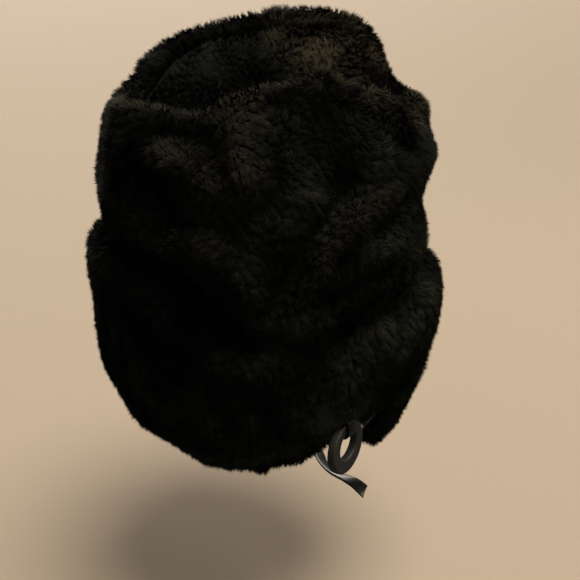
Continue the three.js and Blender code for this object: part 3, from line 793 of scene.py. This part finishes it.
# A soft normal for each hair: the hide's, turned by the hair's lean and the roundness of its tuft
ROUND = 0.7
LEAN_SHADE = 0.5
UNEVEN = 0.25
from_middle = vector_math(grow, "SCALE", to_middle, scale=-ROUND / TUFT_WIDE)
leant = vector_math(grow, "SCALE", toward, scale=LEAN_SHADE)
uneven = random_vector(grow, UNEVEN, 14)
soft = normal
for part in (from_middle, leant, uneven):
    soft = vector_math(grow, "ADD", soft, part)
rounded = vector_math(grow, "NORMALIZE", soft)
kept = add_node(grow, "GeometryNodeStoreNamedAttribute", data_type="FLOAT_VECTOR", domain="POINT")
kept.inputs["Name"].default_value = "soft_normal"
links.new(held_normal.outputs["Geometry"], kept.inputs["Geometry"])
links.new(rounded, kept.inputs["Value"])
rooted = add_node(grow, "GeometryNodeSetPosition")
links.new(kept.outputs["Geometry"], rooted.inputs["Geometry"])
links.new(vector_math(grow, "SCALE", normal, scale=-ROOT_DEPTH), rooted.inputs["Offset"])
links.new(rooted.outputs["Geometry"], planted.inputs["Points"])

real = add_node(grow, "GeometryNodeRealizeInstances")
links.new(planted.outputs["Instances"], real.inputs["Geometry"])
links.new(real.outputs["Geometry"], grow_out.inputs["Pile"])
print("made", grow.name, "with", len(grow.nodes), "nodes")


# %% Grow the pile of each panel
def part_of(hide, number, parts):
    """A copy of one sector of a hide, out of the given number of sectors, for the hairs to grow from."""
    work = bmesh.new()
    work.from_mesh(hide.data)
    if parts > 1:
        share = 2 * math.pi / parts
        others = []
        for face in work.faces:
            middle = face.calc_center_median()
            sector = int((math.atan2(middle.y, middle.x) % (2 * math.pi)) / share)
            if sector != number:
                others.append(face)
        bmesh.ops.delete(work, geom=others, context="FACES")
    mesh = bpy.data.meshes.new(hide.name + "_part")
    work.to_mesh(mesh)
    work.free()
    return mesh


def make_pile(node, number):
    """The hairs of one sector of a panel."""
    pelt = PELTS[node]
    name = node + "_pile" + (f"_{number + 1}" if pelt["parts"] > 1 else "")
    pile = bpy.data.objects.new(name, part_of(hides[node], number, pelt["parts"]))
    bpy.context.scene.collection.objects.link(pile)
    growing = pile.modifiers.new("growing", "NODES")
    growing.node_group = grow
    values = {"Hair": hair, "Density": HAIRS_PER_SQUARE_METRE, "Lean": pelt["lean"], "Gather": pelt["gather"]}
    values |= {"Swirl": pelt["swirl"], "Seed": SEED + number}
    for item in grow.interface.items_tree:
        if item.in_out == "INPUT" and item.name in values:
            growing[item.identifier] = values[item.name]
    apply_modifiers(pile)
    soft = [tuple(item.vector) for item in pile.data.attributes["soft_normal"].data]
    pile.data.normals_split_custom_set_from_vertices(soft)
    return pile


triangles = 0
for node, pelt in PELTS.items():
    for number in range(pelt["parts"]):
        pile = make_pile(node, number)
        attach(pile, "root")
        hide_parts(node)
        triangles += len(pile.data.polygons)
        print(pile.name, len(pile.data.polygons), "triangles", [m.name for m in pile.data.materials])
bpy.data.objects.remove(hair)
print("pile triangles in all:", triangles)

# %% [markdown]
# ## The ring
# The ring is turned from plastic with rounded edges. One small rounded section is spun round the ring's axis,
# which is quicker than a torus that is flattened, and keeps its flat faces flat.

# %% Spin the ring
RING_OUTER, RING_HOLE, RING_THICK = 38 * MM, 21 * MM, 6 * MM
HOLE_UP = 1.8 * MM  # how far the hole sits above the ring's middle
RING_EDGE, EDGE_STEPS = 1.4 * MM, 6
RING_FACES = math.radians(326)  # which way its axis points, round Z
RING_STEPS = 96
FLAT = 0.99  # a face that looks this nearly along the axis belongs to a flat side


def make_ring():
    """A rounded flat section spun round Z, stood up, turned and moved to the ring's place."""
    band = (RING_OUTER - RING_HOLE) / 2
    work = bmesh.new()
    bmesh.ops.create_grid(work, x_segments=1, y_segments=1, size=0.5)
    bmesh.ops.scale(work, vec=(band, RING_THICK, 1), verts=work.verts)
    bmesh.ops.bevel(work, geom=work.verts, offset=RING_EDGE, segments=EDGE_STEPS, profile=0.5,
                    affect="VERTICES", material=-1)
    bmesh.ops.rotate(work, verts=work.verts, cent=(0, 0, 0), matrix=Matrix.Rotation(math.pi / 2, 3, "X"))
    bmesh.ops.translate(work, verts=work.verts, vec=((RING_OUTER - band) / 2, 0, 0))
    bmesh.ops.delete(work, geom=work.faces[:], context="FACES_ONLY")
    bmesh.ops.spin(work, geom=work.verts[:] + work.edges[:], cent=(0, 0, 0), axis=(0, 0, 1),
                   angle=2 * math.pi, steps=RING_STEPS, use_merge=True)
    bmesh.ops.recalc_face_normals(work, faces=work.faces)
    hole = [v for v in work.verts if math.hypot(v.co.x, v.co.y) < (RING_OUTER + RING_HOLE) / 4]
    bmesh.ops.translate(work, verts=hole, vec=(0, HOLE_UP, 0))
    upright = Matrix.Rotation(RING_FACES + math.pi / 2, 3, "Z") @ Matrix.Rotation(math.pi / 2, 3, "X")
    bmesh.ops.rotate(work, verts=work.verts, cent=(0, 0, 0), matrix=upright)
    low, high = (Vector(corner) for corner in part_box("strap_ring"))
    bmesh.ops.translate(work, verts=work.verts, vec=(low + high) / 2)
    for face in work.faces:
        face.smooth = abs(face.normal.dot(upright.col[2])) < FLAT
    return new_piece(work, "turned_ring", plastic)


ring = make_ring()
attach(ring, "root")
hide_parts("strap_ring")
print(ring.name, len(ring.data.polygons), "faces, box", [round(x, 4) for x in ring.dimensions])

# %% [markdown]
# ## The tab and the strap
# Both are cut from glossy leather two millimetres thick. A merged copy of each in the frame gets soft edges,
# because cut and burnished leather has no sharp corner.

# %% Round the leather's edges
LEATHER_EDGE = 0.5 * MM
CUT_EDGE = math.radians(50)  # an edge sharper than this was cut, and is rounded


def make_leather(node):
    """A leather piece with its cut edges rounded."""
    work = merged_copy(node, flat=0.3, square=3)
    corners = [e for e in work.edges if e.calc_face_angle(0) > CUT_EDGE]
    bmesh.ops.bevel(work, geom=corners, offset=LEATHER_EDGE, segments=2, profile=0.5, affect="EDGES", material=-1)
    for face in work.faces:
        face.smooth = True
    return new_piece(work, node + "_leather", leather)


for node in ("ring_tab", "chin_strap"):
    piece = make_leather(node)
    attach(piece, "root")
    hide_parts(node)
    print(piece.name, len(piece.data.polygons), "faces")

# %% [markdown]
# ## Floor and light
# A pale floor lies well below the hat and rises far off into a round wall, so that no horizon shows from any
# side. It could be a plain plane, but the edge of a plane is seen from the front. The lamps are large and soft.

# %% Floor
FLOOR_HEIGHT = -0.245
FLOOR_REACH, WALL_BEND, WALL_HIGH = 9.0, 14.0, 4.0
BEND_STEPS = 8
pale, _, pale_shader = new_material("pale_floor", 0.9)
set_values(pale_shader, Base_Color=(0.238, 0.192, 0.143, 1))
floor_work = bmesh.new()
bmesh.ops.create_circle(floor_work, segments=96, radius=FLOOR_REACH, cap_ends=True)
edge = [e for e in floor_work.edges if e.is_boundary]
reach = FLOOR_REACH
for step in range(1, BEND_STEPS + 2):  # round the bend, and then once more up the wall
    turned = math.radians(90 / BEND_STEPS * min(step, BEND_STEPS))
    wider = FLOOR_REACH + WALL_BEND * math.sin(turned)
    higher = WALL_BEND * (1 - math.cos(turned)) + (WALL_HIGH if step > BEND_STEPS else 0)
    raised = bmesh.ops.extrude_edge_only(floor_work, edges=edge)["geom"]
    edge = [part for part in raised if isinstance(part, bmesh.types.BMEdge)]
    rim = [part for part in raised if isinstance(part, bmesh.types.BMVert)]
    bmesh.ops.scale(floor_work, vec=(wider / reach, wider / reach, 1), verts=rim)
    bmesh.ops.translate(floor_work, vec=(0, 0, higher - rim[0].co.z), verts=rim)
    reach = wider
bmesh.ops.translate(floor_work, verts=floor_work.verts, vec=(0, 0, FLOOR_HEIGHT))
bmesh.ops.recalc_face_normals(floor_work, faces=floor_work.faces)
bmesh.ops.reverse_faces(floor_work, faces=floor_work.faces)
for face in floor_work.faces:
    face.smooth = len(face.verts) == 4
floor = new_piece(floor_work, "floor", pale)
floor.visible_diffuse = False  # the real hat's underside is in deep shade, so no light comes back from below
floor.visible_glossy = False
floor.visible_shadow = False  # the low lamps shine in over the wall
print("floor reaches", round(reach, 1), "m from the middle")

# %% Lights
def add_light(name, kind, place, aim, power, colour, size):
    """A soft light that points from its place at another. The size is a sun's angle or a lamp's width."""
    light = bpy.data.lights.new(name, kind)
    light.energy = power
    light.color = colour
    if kind == "SUN":
        light.angle = size
    else:
        light.size = size
    holder = bpy.data.objects.new(name, light)
    holder.location = place
    holder.rotation_euler = (Vector(aim) - Vector(place)).to_track_quat("-Z", "Y").to_euler()
    bpy.context.scene.collection.objects.link(holder)
    return holder


WARM = (1.0, 0.92, 0.80)
add_light("ceiling", "SUN", (0.28, -0.2, 1.2), (0, 0, 0), 5.2, WARM, math.radians(32))
add_light("window", "AREA", (1.1, 0.5, 0.9), (0, 0, 0.1), 6, WARM, 0.7)
add_light("front", "SUN", (-0.25, 1.0, 0.30), (0, 0, 0), 4.0, WARM, math.radians(50))
add_light("low", "SUN", (1.0, -1.2, 0.02), (0, 0, 0), 0.33, WARM, math.radians(40))
add_light("side lamp", "AREA", (-1.6, 0.3, 0.4), (0, 0, 0.0), 1, WARM, 0.9)
world = bpy.data.worlds.new("studio")
world.use_nodes = True
set_values(world.node_tree.nodes["Background"], Color=(1.0, 0.93, 0.84, 1), Strength=0.12)
bpy.context.scene.world = world
bpy.context.scene.view_settings.view_transform = "Standard"
